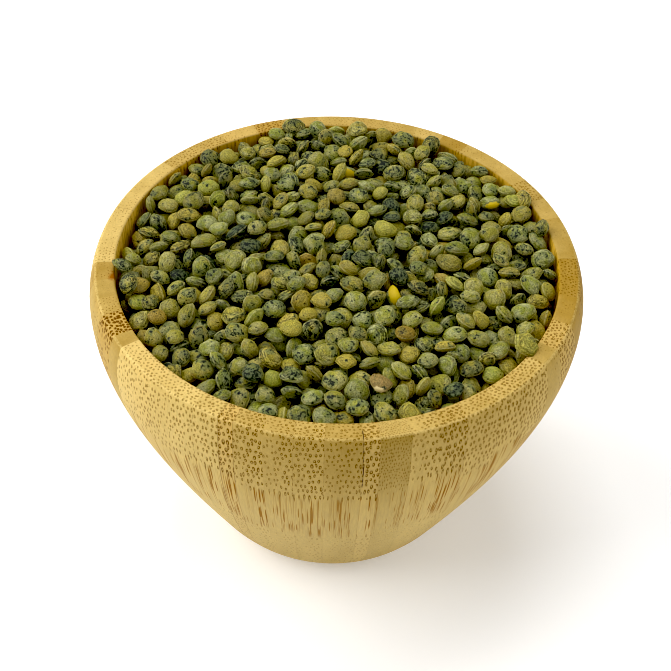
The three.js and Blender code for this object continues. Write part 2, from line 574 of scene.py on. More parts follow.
@dataclass(frozen=True)
class BambooFinish:
    """Oiled bamboo with its open fibre bundles, read from the staves' own grain attributes.

    Heights, radii and widths are in millimetres, and the relief's depth is in metres. A pair is where a
    change begins and ends, but for ring_radii, the least and greatest radius of a ring. A shift is what a
    stave's random number is multiplied with, which moves a noise to a place of its own on that stave.
    """

    name: str = "oiled_bamboo"
    straw: Colour = srgb(214, 186, 114)
    tan: Colour = srgb(148, 120, 50)
    amber: Colour = srgb(186, 136, 46)
    pore_brown: Colour = srgb(116, 84, 0)
    pore_dark: Colour = srgb(94, 54, 0)
    streak: Colour = srgb(138, 92, 4)
    glue: Colour = srgb(112, 78, 32)
    # Oil-soaked inside of the wall, partly painted light bounced off the lentils.
    soaked: Colour = srgb(212, 166, 44)
    scorch: Colour = srgb(142, 86, 18)
    paler_tint: Colour = srgb(198, 178, 122)
    # Colour of the painted highlight along the rim's outer edge.
    edge_highlight: Colour = srgb(246, 222, 150)
    crack: Colour = srgb(58, 34, 30)
    cell: float = 0.98
    row: float = 0.98 * math.sqrt(3) / 2
    looseness: float = 0.48
    sway: float = 1.3
    ring_radii: Span = (0.25, 0.32)
    hollow_shares: Span = (0.58, 0.12)
    hollow_bores: Span = (1.2, 1.1)
    gap_strength: float = 0.7
    fine_bores: Span = (0.46, 0.58)
    fineness: float = 1.75
    streak_narrowing: float = 1.5
    foot_narrowing: float = 1.3
    narrowing_reach: float = 12.0
    thread_rate: float = 4.3
    thread_levels: Span = (0.54, 0.61)
    ring_foot: float = 60.0
    streak_foot: float = 38.0
    foot_spread: float = 5.0
    foot_raggedness: float = 9.0
    closing: Span = (75.6, 73.2)
    evening: Span = (70.0, 54.0)
    evenness: float = 0.5
    rim_top: Span = (75.7, 75.95)
    under_rim_paling: Span = (75.9, 73.0)
    footward_paling: Span = (74.0, 40.0)
    edge_highlight_radii: Span = (51.6, 51.8)
    edge_highlight_heights: Span = (75.55, 75.75)
    mouth_radius: float = 47.9
    soaked_top: Span = (75.9, 75.5)
    soaked_foot: Span = (58.0, 60.0)
    glue_width: Span = (0.16, 0.04)
    foot_shift: float = 71.0
    row_shift: float = 37.0
    column_shift: float = 61.0
    group_shift: float = 29.0
    thread_shift: float = 53.0
    fibre_shift: float = 41.0
    patch_shift: float = 23.0
    roughness: float = 0.66
    specular: float = 0.08
    relief_depth: float = 0.00005

    def material(self) -> bpy.types.Material:
        """Makes the material.

        Returns:
            The finished material.
        """
        sheet = FinishSheet(self.name)
        grain = sheet.attribute("grain").outputs["Vector"]
        across, edge, chance = sheet.split(sheet.attribute("place").outputs["Vector"])
        timber = sheet.attribute("timber")
        tone, pores, pores_end = sheet.channels(timber.outputs["Color"])
        bore = timber.outputs["Alpha"]
        habit = sheet.attribute("habit")
        warmth, joint, joint_end = sheet.channels(habit.outputs["Color"])
        lasting = habit.outputs["Alpha"]
        lightened, _, _ = sheet.channels(sheet.attribute("ends").outputs["Color"])

        along_x, along_y, height = sheet.split(sheet.place())
        height = sheet.product(height, 1.0 / MM)
        out = sheet.product(sheet.length(along_x, along_y), 1.0 / MM)
        share = sheet.ramp(across, 0.1, 0.9)
        density = sheet.product(sheet.ramp(share, 0.0, 1.0, pores, pores_end),
                                sheet.ramp(height, *self.closing, 1.0, lasting))
        side, _, _ = sheet.split(grain)
        ragged = sheet.vector(sheet.product(side, 0.8), sheet.product(chance, self.foot_shift))
        ragged = sheet.math("SUBTRACT", sheet.noise(ragged, 1.0, 2.0), 0.5)
        shifted = sheet.math("MULTIPLY_ADD", chance, -self.foot_spread, height)
        shifted = sheet.math("MULTIPLY_ADD", ragged, self.foot_raggedness, shifted)
        drawn_out = sheet.product(sheet.ramp(shifted, self.ring_foot - 1.0, self.ring_foot - 4.0),
                                  sheet.ramp(shifted, self.streak_foot - 6.0, self.streak_foot))
        below = sheet.ramp(shifted, self.streak_foot + 4.0, self.streak_foot - 8.0)
        density = sheet.product(density, sheet.math("MULTIPLY_ADD", below, -0.5, 1.0))
        pore, pore_depth = self._pores(sheet, grain, density, bore, chance, drawn_out, height)
        fibre = self._fibres(sheet, grain, chance)
        patch = self._patches(sheet, grain, chance)

        evened = sheet.ramp(height, *self.evening, 0.0, self.evenness)
        tone = sheet.math("MULTIPLY_ADD", evened, sheet.math("SUBTRACT", 0.5, tone), tone)
        # Painted light: on some staves the rim's top is made paler, as if lit from above.
        tone = sheet.math("SUBTRACT", tone, sheet.ramp(height, *self.rim_top, 0.0, lightened))
        depth = sheet.math("ADD", tone, sheet.math("MULTIPLY_ADD", patch, 0.6, -0.3), clamp=True)
        wood = sheet.mix(depth, self.straw, self.tan)
        wood = sheet.mix(sheet.product(warmth, 0.45), wood, self.amber)
        # Paler just under the rim's top, and more so towards the foot.
        pale = sheet.math("ADD", sheet.ramp(height, *self.under_rim_paling, 0.0, 0.12),
                          sheet.ramp(height, *self.footward_paling, 0.0, 0.28))
        wood = sheet.mix(pale, wood, self.paler_tint)
        wood = sheet.shaded(wood, sheet.ramp(fibre, 0.25, 0.75, 0.89, 1.08))
        wood = self._soak_and_bounce(sheet, wood, grain, out, height)
        # A painted highlight: a thin pale line along the rim's outer edge, where its rounding would catch the
        # light.
        painted_edge_highlight = sheet.product(sheet.ramp(out, *self.edge_highlight_radii), sheet.ramp(height, *self.edge_highlight_heights),
                                  sheet.ramp(fibre, 0.35, 0.6, 0.02, 0.22))
        wood = sheet.mix(painted_edge_highlight, wood, self.edge_highlight)
        dark = sheet.mix(warmth, self.pore_brown, self.pore_dark)
        dark = sheet.mix(drawn_out, dark, self.streak)
        strength = sheet.product(sheet.ramp(density, 0.0, 1.0, 0.55, 1.0),
                                 sheet.math("MULTIPLY_ADD", below, -0.5, 1.0))
        wood = sheet.mix(sheet.product(pore, strength), wood, dark)

        joint_here = sheet.ramp(across, 0.45, 0.55, joint, joint_end)
        line = sheet.product(sheet.ramp(edge, *self.glue_width), joint_here)
        wood = sheet.mix(line, wood, self.glue)
        wood = self._marks(sheet, wood)

        height = sheet.math("SUBTRACT", sheet.product(fibre, 0.35), pore_depth)
        height = sheet.math("SUBTRACT", height, sheet.product(line, 0.5))
        sheet.relief(height, self.relief_depth, 0.5)
        rough = sheet.ramp(fibre, 0.2, 0.8, self.roughness - 0.07, self.roughness + 0.09)
        return sheet.dress(Base_Color=wood, Roughness=rough, Specular_IOR_Level=self.specular)

    def _soak_and_bounce(self, sheet: FinishSheet, wood: Socket, grain: Socket, out: Socket, height: Socket) -> Socket:
        """The hollow's wall, oil-soaked and tinted with painted bounce light from the lentils: deeper in
        colour, with dark lines down it.

        Args:
            sheet: The material's sheet.
            wood: The wood's colour so far.
            grain: Place across, through and along the grain.
            out: Distance from the axis in millimetres.
            height: Height in millimetres.

        Returns:
            The colour with its soaked inside.
        """
        side, _, along = sheet.split(grain)
        inside = sheet.product(sheet.ramp(out, self.mouth_radius + 0.4, self.mouth_radius + 0.1),
                               sheet.ramp(height, *self.soaked_top), sheet.ramp(height, *self.soaked_foot))
        lines = sheet.noise(sheet.vector(sheet.product(side, 1.3), sheet.product(along, 0.06)), 1.0, 2.0, 0.6)
        deep = sheet.shaded(sheet.mix(0.6, wood, self.soaked), sheet.ramp(lines, 0.36, 0.54, 0.72, 1.15))
        return sheet.mix(inside, wood, deep)

    def _pores(self, sheet: FinishSheet, grain: Socket, density: Socket, bore: Socket,
               chance: Socket, drawn_out: Socket, height: Socket) -> tuple[Socket, Socket]:
        """The cut fibre bundles: rings in staggered rows, which a cut along the grain draws out to streaks.

        Args:
            sheet: The material's sheet.
            grain: Place across, through and along the grain.
            density: Share of the bundles that are open here.
            bore: The pores' size.
            chance: The stave's own random number.
            drawn_out: 0 where the cut crosses the bundles, 1 where it runs along them.
            height: Height in millimetres.

        Returns:
            The rings' darkness, and the hollows' depth.
        """
        side, through, along = sheet.split(grain)
        sway = sheet.noise(sheet.vector(sheet.product(side, 0.35), sheet.product(through, 0.35)), 1.0, 1.0)
        swayed = sheet.math("ADD", through, sheet.math("MULTIPLY_ADD", sway, self.sway, -self.sway / 2))
        fineness = sheet.ramp(bore, *self.fine_bores, self.fineness, 1.0)
        row = sheet.math("MULTIPLY_ADD", sheet.product(swayed, fineness), 1.0 / self.row,
                         sheet.product(chance, self.row_shift))
        column = sheet.math("MULTIPLY_ADD", sheet.product(side, fineness), 1.0 / self.cell,
                            sheet.product(chance, self.column_shift))
        lattice = sheet.vector(sheet.math("MULTIPLY_ADD", row, -0.5, column), row)
        cells = sheet.cells(lattice, 1.0, self.looseness, flat=True)
        here, size_chance, side_chance = sheet.channels(cells.outputs["Color"])
        off = sheet.between("SUBTRACT", lattice, cells.outputs["Position"]).outputs["Vector"]
        off_column, off_row, _ = sheet.split(off)
        shrink = sheet.math("DIVIDE", 1.0, fineness)
        off_side = sheet.product(sheet.math("MULTIPLY_ADD", off_row, 0.5, off_column), self.cell, shrink)
        off_through = sheet.product(off_row, self.row, shrink)
        narrowed = sheet.product(off_side, sheet.ramp(drawn_out, 0.0, 1.0, 1.0, self.streak_narrowing),
                                 sheet.ramp(height, self.ring_foot, self.ring_foot + self.narrowing_reach,
                                            self.foot_narrowing, 1.0))
        distance = sheet.length(narrowed, off_through)

        group = sheet.vector(sheet.product(side, 0.5), sheet.product(chance, self.group_shift))
        group = sheet.ramp(sheet.noise(group, 1.0, 1.0), 0.38, 0.56)
        grouped = sheet.math("MULTIPLY_ADD", drawn_out, sheet.math("MULTIPLY_ADD", group, 0.9, -0.9), 1.0)
        limit = sheet.product(sheet.ramp(density, 0.0, 0.7, 0.04, 1.0), grouped)
        opened = sheet.math("LESS_THAN", here, limit)
        radius = sheet.product(sheet.ramp(size_chance, 0.0, 1.0, *self.ring_radii), bore,
                               sheet.ramp(density, 0.0, 1.0, 0.65, 1.0))
        outside = sheet.ramp(distance, sheet.math("ADD", radius, 0.05), sheet.math("SUBTRACT", radius, 0.03))
        hollow_from, hollow_to = (sheet.product(radius, share) for share in self.hollow_shares)
        hollow = sheet.ramp(distance, hollow_from, hollow_to, 0.0, sheet.ramp(bore, *self.hollow_bores))
        hollow = sheet.product(hollow, sheet.math("SUBTRACT", 1.0, drawn_out))
        angle = sheet.product(side_chance, math.tau)
        turned = sheet.math("ADD", sheet.product(off_side, sheet.math("COSINE", angle)),
                            sheet.product(off_through, sheet.math("SINE", angle)))
        gap = sheet.ramp(turned, 0.0, radius, 0.0, self.gap_strength)
        ring = sheet.math("SUBTRACT", outside, sheet.product(hollow, 0.9), clamp=True)
        ring = sheet.product(ring, sheet.math("SUBTRACT", 1.0, gap), opened)
        threads = sheet.vector(sheet.math("MULTIPLY_ADD", side, self.thread_rate,
                                          sheet.product(chance, self.thread_shift)),
                               sheet.product(along, 0.05), sheet.product(through, 0.3))
        threads = sheet.ramp(sheet.noise(threads, 1.0, 1.0, 0.4), *self.thread_levels)
        threads = sheet.product(threads, drawn_out, group, sheet.ramp(density, 0.3, 0.9))
        return sheet.math("MAXIMUM", ring, threads), sheet.product(outside, opened, 0.7)

    def _fibres(self, sheet: FinishSheet, grain: Socket, chance: Socket) -> Socket:
        """Fine light and dark fibres along the grain.

        Args:
            sheet: The material's sheet.
            grain: Place across, through and along the grain.
            chance: The stave's own random number.

        Returns:
            Noise drawn out along the fibres.
        """
        side, through, along = sheet.split(grain)
        drawn = sheet.vector(sheet.math("MULTIPLY_ADD", chance, self.fibre_shift, side), through,
                             sheet.product(along, 0.05))
        return sheet.noise(drawn, 2.6, 4.0, 0.62)

    def _patches(self, sheet: FinishSheet, grain: Socket, chance: Socket) -> Socket:
        """Broad, faint changes of tone within a stave.

        Args:
            sheet: The material's sheet.
            grain: Place across, through and along the grain.
            chance: The stave's own random number.

        Returns:
            Slow noise.
        """
        side, through, along = sheet.split(grain)
        slow = sheet.vector(sheet.math("MULTIPLY_ADD", chance, self.patch_shift, sheet.product(side, 0.22)),
                            sheet.product(through, 0.16), sheet.product(along, 0.03))
        return sheet.noise(slow, 1.0, 2.0)

    def _marks(self, sheet: FinishSheet, wood: Socket) -> Socket:
        """The open joint in the front wall and the scorch at the mouth.

        Args:
            sheet: The material's sheet.
            wood: The wood's colour so far.

        Returns:
            The colour with both marks.
        """
        place = sheet.place()
        along_x, along_y, height = sheet.split(place)
        azimuth = sheet.math("ARCTAN2", along_y, along_x)
        out = sheet.length(along_x, along_y)
        joint_angle = math.radians(OPEN_JOINT.azimuth) - math.tau
        off = sheet.math("ABSOLUTE", sheet.math("SUBTRACT", azimuth, joint_angle))
        ragged = sheet.noise(place, 900.0, 2.0)
        width = sheet.product(sheet.ramp(ragged, 0.38, 0.6, 0.25, 1.0), OPEN_JOINT.width * MM / 2)
        gap = sheet.ramp(sheet.product(off, out), width, sheet.product(width, 0.4))
        gap = sheet.product(gap, sheet.ramp(height, OPEN_JOINT.bottom * MM, (OPEN_JOINT.bottom + 2) * MM),
                            sheet.ramp(out, (OPEN_JOINT.inner_radius - 0.2) * MM,
                                       (OPEN_JOINT.inner_radius + 0.2) * MM))
        wood = sheet.mix(gap, wood, self.crack)
        spread = sheet.between("DISTANCE", place, SCORCH.centre())
        reach = sheet.math("MULTIPLY_ADD", ragged, 2.4 * MM, spread.outputs["Value"])
        burnt = sheet.ramp(reach, (SCORCH.radius + 1.6) * MM, (SCORCH.radius + 0.4) * MM)
        return sheet.mix(burnt, wood, self.scorch)


@dataclass(frozen=True)
class OpenJoint:
    """A glue line that has opened a hair, from the middle of the rim's top down the wall."""

    azimuth: float = 276.6
    width: float = 0.3
    bottom: float = 63.0
    inner_radius: float = 50.0


OPEN_JOINT = OpenJoint()


@dataclass(frozen=True)
class Scorch:
    """A small burn on the rim's inner edge, about 3 mm across."""

    azimuth: float = 191.3
    from_axis: float = 47.8
    height: float = 75.5
    radius: float = 1.6

    def centre(self) -> tuple[float, float, float]:
        """Its middle, in metres."""
        turn = math.radians(self.azimuth)
        return (self.from_axis * math.cos(turn) * MM, self.from_axis * math.sin(turn) * MM, self.height * MM)


SCORCH = Scorch()


@dataclass
class TurnedBowl:
    """The bowl: staves glued in a ring, turned to one smooth form with a flat rim."""

    height: float = 76.0
    rim_radius: float = 52.0
    rim_width: float = 4.1
    rim_easing: float = 0.5
    belly_swell: float = 5.9
    belly_drop: float = 10.5
    foot_radius: float = 33.9
    foot_height: float = 8.5
    foot_slope: float = math.radians(65.5)
    foot_handle: float = 39.8
    base_radius: float = 21.8
    floor_thickness: float = 9.0
    wall_steps: int = 44
    turn_steps: int = 6
    easing_steps: int = 4
    cavity_steps: int = 14
    step_angle: float = math.radians(1.9)
    fibre_lean: float = math.radians(69.0)
    fibre_lean_spread: float = math.radians(1.5)
    crossing: tuple[Point, ...] = ((0.0, 0.4), (30.0, 0.35), (36.0, 0.08), (57.0, 0.06), (60.0, 0.36),
                                   (67.0, 0.55), (76.0, 0.8))
    straight_azimuth: float = math.radians(270.0)
    straight_reach: float = math.radians(60.0)
    straight_most: float = 1.4
    bundle_flatness: float = 0.78
    sample_steps: int = 160
    shading_support: float = 0.12
    skin_depth: float = 3.0
    base_skin: float = 0.01
    strip_width: float = 7.5
    strip_tones: Span = (0.1, 0.7)
    strip_bundles: tuple[float, float, float] = (0.15, 0.35, 0.7)
    strip_habit: Colour = (0.2, 0.3, 0.3, 1.0)
    seed: int = 7
    staves: tuple[Stave, ...] = STAVES
    finish: BambooFinish = field(default_factory=BambooFinish)

    @property
    def mouth_radius(self) -> float:
        """Radius of the rim's inner edge."""
        return self.rim_radius - self.rim_width

    def outer_wall(self) -> Curve:
        """The outside from the rim down to the foot.

        Returns:
            The curve.
        """
        handle = (self.foot_radius + self.foot_handle * math.cos(self.foot_slope),
                  self.foot_height + self.foot_handle * math.sin(self.foot_slope))
        return Curve((self.rim_radius, self.height),
                     (self.rim_radius + self.belly_swell, self.height - self.belly_drop),
                     handle, (self.foot_radius, self.foot_height))

    def cavity_wall(self, clearance: float = 0.0) -> Curve:
        """The hollow's wall from the mouth down to the middle of its floor.

        Args:
            clearance: How far inside the true wall.

        Returns:
            The curve.
        """
        height = self.height + clearance
        radius = self.mouth_radius - clearance
        floor = self.floor_thickness + clearance
        return Curve((radius, height), (radius * 1.03, height * 0.58), (radius * 0.7, floor), (0.0, floor))

    def profile(self) -> list[Point]:
        """The turned section, from the middle of the base up the outside and down into the hollow.

        Returns:
            Radius and height of each ring.
        """
        wall = self.outer_wall().spaced(self.wall_steps)
        wall.reverse()
        foot_corner = (self.foot_radius - self.foot_height / math.tan(self.foot_slope), 0.0)
        under = rounding((self.base_radius, 0.0), foot_corner, wall[0], self.turn_steps)
        fine = self.outer_wall().spaced(CURVE_RUNS)
        below_edge = next(p for p in fine if math.dist(p, fine[0]) >= self.rim_easing)
        outer = rounding(below_edge, (self.rim_radius, self.height),
                         (self.rim_radius - self.rim_easing, self.height), self.easing_steps)
        inner = rounding((self.mouth_radius + self.rim_easing, self.height), (self.mouth_radius, self.height),
                         (self.mouth_radius, self.height - self.rim_easing), self.easing_steps)
        flat = [(outer[-1][0] - self.shading_support, self.height),
                (inner[0][0] + self.shading_support, self.height)]
        base = [(0.0, 0.0), (self.base_radius - self.shading_support, 0.0)]
        down = self.cavity_wall().spaced(self.cavity_steps)[1:]
        return base + under + wall[1:-1] + outer + flat + inner + down

    def build(self) -> bpy.types.Object:
        """Turns every stave, joins them and writes where each point lies in its stave's grain.

        Returns:
            The bowl.
        """
        bm = bmesh.new()
        layers = {name: bm.loops.layers.float_vector.new(name) for name in ("grain", "place")}
        layers.update({name: bm.loops.layers.float_color.new(name) for name in ("timber", "habit", "ends")})
        random = np.random.default_rng(self.seed)
        section = self.profile()
        followers = self.staves[1:] + self.staves[:1]
        for stave, follower in zip(self.staves, followers):
            width = (follower.start - stave.start) % 360.0
            self._turn_stave(bm, layers, section, stave, follower, width, random)
        bmesh.ops.remove_doubles(bm, verts=bm.verts, dist=TOUCH)
        self._straighten(bm)
        self._lay_base_strips(bm, layers, random)
        bmesh.ops.recalc_face_normals(bm, faces=bm.faces)
        return written(bm, "turned_bowl")

    def _turn_stave(self, bm: bmesh.types.BMesh, layers: dict[str, object], section: list[Point],
                    stave: Stave, follower: Stave, width: float, random: np.random.Generator) -> None:
        """Spins the section through one stave's width and writes its grain.

        Args:
            bm: The bowl's mesh.
            layers: The mesh's grain layers.
            section: The turned section.
            stave: The stave.
            follower: The next stave, for the joint between them.
            width: The stave's width in degrees.
            random: Source of the small differences between staves.
        """
        start = math.radians(stave.start)
        angle = math.radians(width)
        middle = start + angle / 2
        already = set(bm.faces)
        verts = [bm.verts.new((r * math.cos(start), r * math.sin(start), z)) for r, z in section]
        edges = [bm.edges.new(pair) for pair in zip(verts, verts[1:])]
        bmesh.ops.spin(bm, geom=verts + edges, cent=(0, 0, 0), axis=(0, 0, 1), dvec=(0, 0, 0), angle=angle,
                       steps=max(2, round(angle / self.step_angle)), use_merge=False, use_duplicate=False)
        lean = self.fibre_lean + self.fibre_lean_spread * random.uniform(-1, 1)
        chance = random.random()
        heights, shifts = self._bend(lean, chance)
        for face in bm.faces:
            if face in already:
                continue
            for loop in face.loops:
                x, y, z = loop.vert.co
                radius = math.hypot(x, y)
                turn = (math.atan2(y, x) - middle + math.pi) % math.tau - math.pi if radius > ON_AXIS else 0.0
                through = (radius * math.sin(lean) - z * math.cos(lean)) / self.bundle_flatness
                through += float(np.interp(z, heights, shifts))
                along = radius * math.cos(lean) + z * math.sin(lean)
                edge = max(0.0, (angle / 2 - abs(turn)) * radius)
                loop[layers["grain"]] = (turn * self.rim_radius, through, along)
                loop[layers["place"]] = (turn / angle + 0.5, edge, chance)
                loop[layers["timber"]] = (stave.tone, stave.pores, stave.pores_end, stave.bore)
                loop[layers["habit"]] = (stave.warmth, stave.joint, follower.joint, stave.lasting)
                loop[layers["ends"]] = (stave.lightened, 0.0, 0.0, 1.0)

    def _bend(self, lean: float, chance: float) -> tuple[np.ndarray, np.ndarray]:
        """How far the bundles are bent, so that the wall crosses them at the rates of its crossing table.

        Args:
            lean: The stave's fibre lean.
            chance: The stave's own random number, which moves the table up.

        Returns:
            Heights, rising, and the shift through the grain at each.
        """
        wall = np.array(self.outer_wall().spaced(self.sample_steps))[::-1]
        through = (wall[:, 0] * math.sin(lean) - wall[:, 1] * math.cos(lean)) / self.bundle_flatness
        middle = (wall[1:, 1] + wall[:-1, 1]) / 2 - chance * self.finish.foot_spread
        rate = np.interp(middle, [z for z, _ in self.crossing], [r for _, r in self.crossing])
        runs = np.hypot(np.diff(wall[:, 0]), np.diff(wall[:, 1]))
        steps = -rate * runs - np.diff(through)
        shifts = np.concatenate([[0.0], np.cumsum(steps)])
        return wall[:, 1], shifts - shifts[-1]

    def _straighten(self, bm: bmesh.types.BMesh) -> None:
        """Turns the outside's rings so that the front staves run straight down instead of to the axis.

        Args:
            bm: The bowl's mesh.
        """
        wall = np.array(self.outer_wall().spaced(self.sample_steps))[::-1]
        for vert in bm.verts:
            x, y, z = vert.co
            radius = math.hypot(x, y)
            outer = float(np.interp(z, wall[:, 1], wall[:, 0]))
            in_hollow = z > self.base_skin and radius < outer - self.skin_depth
            if radius < ON_AXIS or z > self.height - self.rim_easing or in_hollow:
                continue
            stretch = min(self.straight_most, self.rim_radius / min(radius, outer)) - 1.0
            off = (math.atan2(y, x) - self.straight_azimuth + math.pi) % math.tau - math.pi
            turn = off * stretch * max(0.0, 1.0 - (off / self.straight_reach) ** 2)
            vert.co = Matrix.Rotation(turn, 3, "Z") @ vert.co

    def _lay_base_strips(self, bm: bmesh.types.BMesh, layers: dict[str, object],
                         random: np.random.Generator) -> None:
        """Cuts the flat base into the straight strips of its own block and writes their grain.

        Args:
            bm: The bowl's mesh.
            layers: The mesh's grain layers.
            random: Source of the small differences between strips.
        """
        reach = math.ceil(self.base_radius / self.strip_width)
        for step in range(-reach, reach + 1):
            flat = [f for f in bm.faces if all(v.co.z < TOUCH for v in f.verts)]
            geometry = set(flat)
            for face in flat:
                geometry.update(face.edges)
                geometry.update(face.verts)
            bmesh.ops.bisect_plane(bm, geom=list(geometry), dist=TOUCH / 10,
                                   plane_co=(0, step * self.strip_width, 0), plane_no=(0, 1, 0))
        tones = random.uniform(*self.strip_tones, 2 * reach + 2)
        chances = random.random(2 * reach + 2)
        for face in bm.faces:
            if not all(v.co.z < TOUCH for v in face.verts):
                continue
            strip = math.floor(face.calc_center_median().y / self.strip_width)
            tone, chance = tones[strip + reach], chances[strip + reach]
            for loop in face.loops:
                x, y, _ = loop.vert.co
                across = y / self.strip_width - strip
                edge = max(0.0, min(across, 1 - across) * self.strip_width)
                loop[layers["grain"]] = (y, 3.0 + 0.05 * x, x)
                loop[layers["place"]] = (across, edge, chance)
                loop[layers["timber"]] = (tone, *self.strip_bundles)
                loop[layers["habit"]] = self.strip_habit
                loop[layers["ends"]] = (0.0, 0.0, 0.0, 1.0)

    def dress(self, obj: bpy.types.Object) -> None:
        """Gives the bowl its finish, in place of its plain solid."""
        publish(obj, self.finish.material(), "bowl")


@dataclass(frozen=True)
class LentilFinish:
    """A dry seed coat: khaki, marbled and flecked with blue black, with a painted highlight along its rim and
    painted shade just inside it.
    """

    name: str
    coat: Colour = srgb(127, 132, 52)
    coat_pale: Colour = srgb(152, 154, 104)
    coat_warm: Colour = srgb(160, 143, 60)
    slate: Colour = srgb(101, 111, 72)
    mottle: Colour = srgb(22, 29, 26)
    speck: Colour = srgb(16, 17, 12)
    # Colour of the painted highlight along the rim.
    rim: Colour = srgb(180, 176, 122)
    stain: Colour = srgb(128, 92, 36)
    mottling: float = 1.0
    speckling: float = 1.0
    staining: float = 0.4
    roughness: float = 0.58
    chalkiness: float = 0.6
    specular: float = 0.2
    own_shift: tuple[float, float, float] = (61.0, 47.0, 83.0)
    ring_shift: float = 43.0
    cloud_scale: float = 1.25
    crumb_scale: float = 4.2
    grit_scale: float = 9.5
    wrinkle_rate: float = 7.5
    zone_scale: float = 1.1
    zone_softness: float = 0.06
    zone_darkening: float = 0.06
    network_scale: float = 3.4
    network_softness: float = 0.012
    speck_scale: float = 3.8
    relief_depth: float = 0.00014
    bare: Colour | None = None
    bare_pale: Colour = srgb(212, 194, 138)

    def material(self) -> bpy.types.Material:
        """Makes the material.

        Returns:
            The finished material.
        """
        sheet = FinishSheet(self.name)
        form = sheet.attribute("form").outputs["Vector"]
        nature = sheet.attribute("nature")
        tone, marbling, warmth = sheet.channels(nature.outputs["Color"])
        chance = nature.outputs["Alpha"]
        x, y, z = sheet.split(form)
        own = sheet.vector(*(sheet.math("MULTIPLY_ADD", chance, shift, part)
                             for shift, part in zip(self.own_shift, (x, y, z))))
        out = sheet.length(x, y)
        round_it = self._round_the_rim(sheet, x, y, out, chance)

        cloud = sheet.noise(own, self.cloud_scale, 2.0, 0.5)
        crumble = sheet.noise(own, self.crumb_scale, 3.0, 0.65)
        grit = sheet.noise(own, self.grit_scale, 2.0, 0.7)
        wrinkle = sheet.noise(round_it, 1.0, 2.0, 0.65)
        lined = sheet.math("FRACT", sheet.product(chance, 7.3))
        coat = sheet.mix(sheet.ramp(cloud, 0.35, 0.65), self.coat, self.coat_pale)
        warm = sheet.math("ADD", warmth, sheet.ramp(crumble, 0.4, 0.8, -0.2, 0.25), clamp=True)
        coat = sheet.mix(warm, coat, self.coat_warm)
        stain = sheet.product(sheet.ramp(sheet.noise(own, 2.1, 1.0), 0.56, 0.7), sheet.ramp(out, 0.6, 1.0),
                              self.staining)
        coat = sheet.mix(stain, coat, self.stain)
        coat = sheet.shaded(coat, sheet.ramp(crumble, 0.3, 0.7, 0.86, 1.12))
        coat = sheet.shaded(coat, sheet.ramp(grit, 0.4, 0.6, 0.62, 1.26))
        coat = self._marble(sheet, coat, own, marbling, crumble)
        furrow = sheet.product(sheet.ramp(lined, 0.5, 1.0), sheet.ramp(out, 0.15, 0.5))
        coat = sheet.mix(furrow, coat, sheet.shaded(coat, sheet.ramp(wrinkle, 0.4, 0.6, 0.68, 1.2)))
        lining = sheet.product(marbling, sheet.ramp(lined, 0.35, 0.9))
        coat = self._draw_arcs(sheet, coat, wrinkle, out, lining, crumble)
        from_ridge = sheet.math("ABSOLUTE", z)
        # Painted shade: a darker band just inside the rim.
        groove_shade = sheet.product(sheet.ramp(from_ridge, 0.1, 0.2), sheet.ramp(from_ridge, 0.36, 0.26))
        coat = sheet.shaded(coat, sheet.ramp(groove_shade, 0.0, 1.0, 1.0, 0.8))
        # A painted highlight: a thin pale line along the rim.
        ridge_highlight = sheet.product(sheet.ramp(from_ridge, 0.13, 0.05), sheet.ramp(crumble, 0.36, 0.6, 0.0, 0.6))
        coat = sheet.mix(ridge_highlight, coat, self.rim)
        coat = sheet.mix(self._specks(sheet, own, marbling), coat, self.speck)
        if self.bare:
            limit = sheet.math("MULTIPLY_ADD", marbling, -1.7, 1.2)
            ragged = sheet.math("ADD", x, sheet.product(crumble, 0.45))
            chip = sheet.ramp(ragged, limit, sheet.math("ADD", limit, 0.08))
            coat = sheet.mix(chip, coat, sheet.mix(warmth, self.bare, self.bare_pale))
        coat = sheet.shaded(coat, sheet.ramp(tone, 0.0, 1.0, 0.74, 1.22))

        sheet.relief(sheet.math("ADD", wrinkle, sheet.product(crumble, 0.6)), self.relief_depth, 0.6)
        rough = sheet.ramp(crumble, 0.3, 0.7, self.roughness - 0.08, self.roughness + 0.12)
        return sheet.dress(Base_Color=coat, Roughness=rough, Specular_IOR_Level=self.specular,
                           Diffuse_Roughness=self.chalkiness)

    def _round_the_rim(self, sheet: FinishSheet, x: Socket, y: Socket, out: Socket, chance: Socket) -> Socket:
        """A place in which noise is drawn out round the lentil's rim.

        Args:
            sheet: The material's sheet.
            x: Place across the lentil, in radii.
            y: Place across it the other way.
            out: Distance from its middle.
            chance: The lentil's own random number.

        Returns:
            The place.
        """
        divisor = sheet.math("MAXIMUM", out, 0.05)
        return sheet.vector(sheet.math("DIVIDE", x, divisor), sheet.math("DIVIDE", y, divisor),
                            sheet.math("MULTIPLY_ADD", out, self.wrinkle_rate,
                                       sheet.product(chance, self.ring_shift)))

    def _marble(self, sheet: FinishSheet, coat: Socket, own: Socket, marbling: Socket,
                crumble: Socket) -> Socket:
        """Duller zones that a ragged dark network runs through.

        Args:
            sheet: The material's sheet.
            coat: The colour so far.
            own: Place on the lentil, shifted so that no two are alike.
            marbling: How much of it is dark.
            crumble: Noise that frays the network.

        Returns:
            The marbled colour.
        """
        broad = sheet.noise(own, self.zone_scale, 1.0)
        limit = sheet.math("MULTIPLY_ADD", marbling, -0.3, 0.7)
        zone = sheet.ramp(broad, sheet.math("SUBTRACT", limit, self.zone_softness),
                          sheet.math("ADD", limit, self.zone_softness))
        coat = sheet.mix(sheet.product(zone, 0.65), coat, self.slate)
        fine = sheet.noise(own, self.network_scale, 2.0, 0.6, 0.6)
        network = sheet.math("ADD", sheet.product(fine, 0.7), sheet.product(crumble, 0.3))
        level = 0.44 + 0.03 * self.mottling
        level = sheet.math("MULTIPLY_ADD", zone, self.zone_darkening, level - self.zone_darkening)
        dark = sheet.ramp(network, sheet.math("ADD", level, self.network_softness),
                          sheet.math("SUBTRACT", level, self.network_softness))
        return sheet.mix(sheet.product(dark, sheet.ramp(zone, 0.0, 0.4), 0.94), coat, self.mottle)

